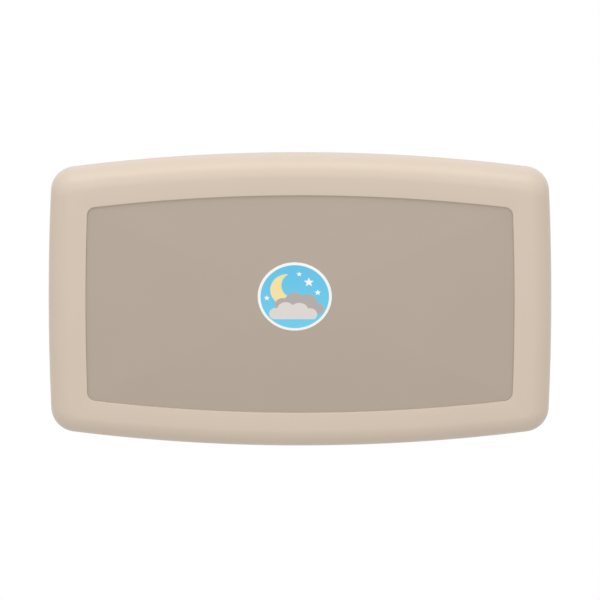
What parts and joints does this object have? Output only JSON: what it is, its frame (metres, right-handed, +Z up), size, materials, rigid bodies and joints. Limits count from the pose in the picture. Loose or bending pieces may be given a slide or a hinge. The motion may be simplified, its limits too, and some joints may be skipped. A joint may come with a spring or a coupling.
{
  "type": "baby changing station",
  "caption": "Wall-mounted horizontal changing station: a moulded bed with bowed edges and an inset front panel folds down on a long hinge from a shallow chassis.",
  "frame": {"origin": "middle of the chassis's flat back face, on the wall", "axes": "+X to the right of someone facing it, +Y into the wall, +Z up"},
  "size_m": [0.894, 0.102, 0.527],
  "materials": {
    "beige_plastic": "fine-grained moulded polyethylene, warm beige, satin",
    "taupe_plastic": "grained moulded plastic, taupe, matt",
    "label_film": "printed film, sky blue with a white edge",
    "zinc_steel": "zinc-plated sheet steel",
    "steel": "plain bright steel",
    "dark_plastic": "dark moulded nylon",
    "rubber": "black rubber",
    "webbing": "woven charcoal nylon webbing"
  },
  "bodies": {
    "chassis": {"bag_hook_left": "taupe_plastic", "bag_hook_right": "taupe_plastic", "bolt_cap_1": "taupe_plastic", "bolt_cap_2": "taupe_plastic", "bolt_cap_3": "taupe_plastic", "bolt_cap_4": "taupe_plastic", "bumper_1": "rubber", "bumper_2": "rubber", "bumper_3": "rubber", "bumper_4": "rubber", "chassis_face": "beige_plastic", "chassis_shell": "beige_plastic", "damper_chassis_bracket": "zinc_steel", "damper_chassis_pin": "steel", "face_screw_1": "steel", "face_screw_2": "steel", "face_screw_3": "steel", "face_screw_4": "steel", "face_screw_5": "steel", "face_screw_6": "steel", "hinge_fixed_leaf": "steel", "hinge_fixed_screw_1": "steel", "hinge_fixed_screw_2": "steel", "hinge_fixed_screw_3": "steel", "hinge_rod": "steel", "liner_pocket": "taupe_plastic", "liner_rail_left": "taupe_plastic", "liner_rail_right": "taupe_plastic", "mounting_plate_left": "zinc_steel", "mounting_plate_right": "zinc_steel"},
    "bed": {"bed_inner_tray": "beige_plastic", "bed_outer_shell": "beige_plastic", "buckle_frame": "dark_plastic", "buckle_pin": "steel", "damper_bed_bracket": "zinc_steel", "damper_bed_pin": "steel", "front_label": "label_film", "front_panel": "taupe_plastic", "hinge_bed_leaf": "steel", "hinge_bed_screw_1": "steel", "hinge_bed_screw_2": "steel", "hinge_bed_screw_3": "steel", "strap_anchor_lower": "zinc_steel", "strap_anchor_upper": "zinc_steel", "strap_long": "webbing", "strap_short": "webbing", "tray_screw_1": "steel", "tray_screw_2": "steel", "tray_screw_3": "steel", "tray_screw_4": "steel", "tray_screw_5": "steel", "tray_screw_6": "steel"},
    "buckle_lever_body": {"buckle_lever": "dark_plastic"},
    "damper_cylinder": {"damper_gland": "steel", "damper_tube": "dark_plastic"},
    "damper_piston": {"damper_rod": "steel"},
    "liner_door_body": {"liner_door": "taupe_plastic"}
  },
  "joints": [
    {"name": "bed_hinge", "type": "hinge", "parent": "chassis", "child": "bed", "pos_m": [0, -0.03875, -0.2355], "axis": [1, 0, 0], "range_deg": [0, 90], "stiffness_Nm_per_rad": 2, "springref_deg": -143.24},
    {"name": "damper_tube_pivot", "type": "hinge", "parent": "chassis", "child": "damper_cylinder", "pos_m": [0.392, -0.01378, -0.18315], "axis": [1, 0, 0], "range_deg": [0, 45]},
    {"name": "damper_rod_pivot", "type": "hinge", "parent": "bed", "child": "damper_piston", "pos_m": [0.392, -0.08977, -0.20791], "axis": [1, 0, 0], "range_deg": [-45, 0]},
    {"name": "liner_door_slide", "type": "slide", "parent": "chassis", "child": "liner_door_body", "axis": [0, 0, 1], "range_m": [0, 0.115]},
    {"name": "buckle_lever_lift", "type": "hinge", "parent": "bed", "child": "buckle_lever_body", "pos_m": [0, -0.066, 0.028], "axis": [1, 0, 0], "range_deg": [0, 60], "stiffness_Nm_per_rad": 0.02, "springref_deg": -34.38}
  ],
  "couplings": [
    {"joint": "damper_tube_pivot", "follows": "bed_hinge", "ratio": 0.5},
    {"joint": "damper_rod_pivot", "follows": "bed_hinge", "ratio": -0.5}
  ]
}
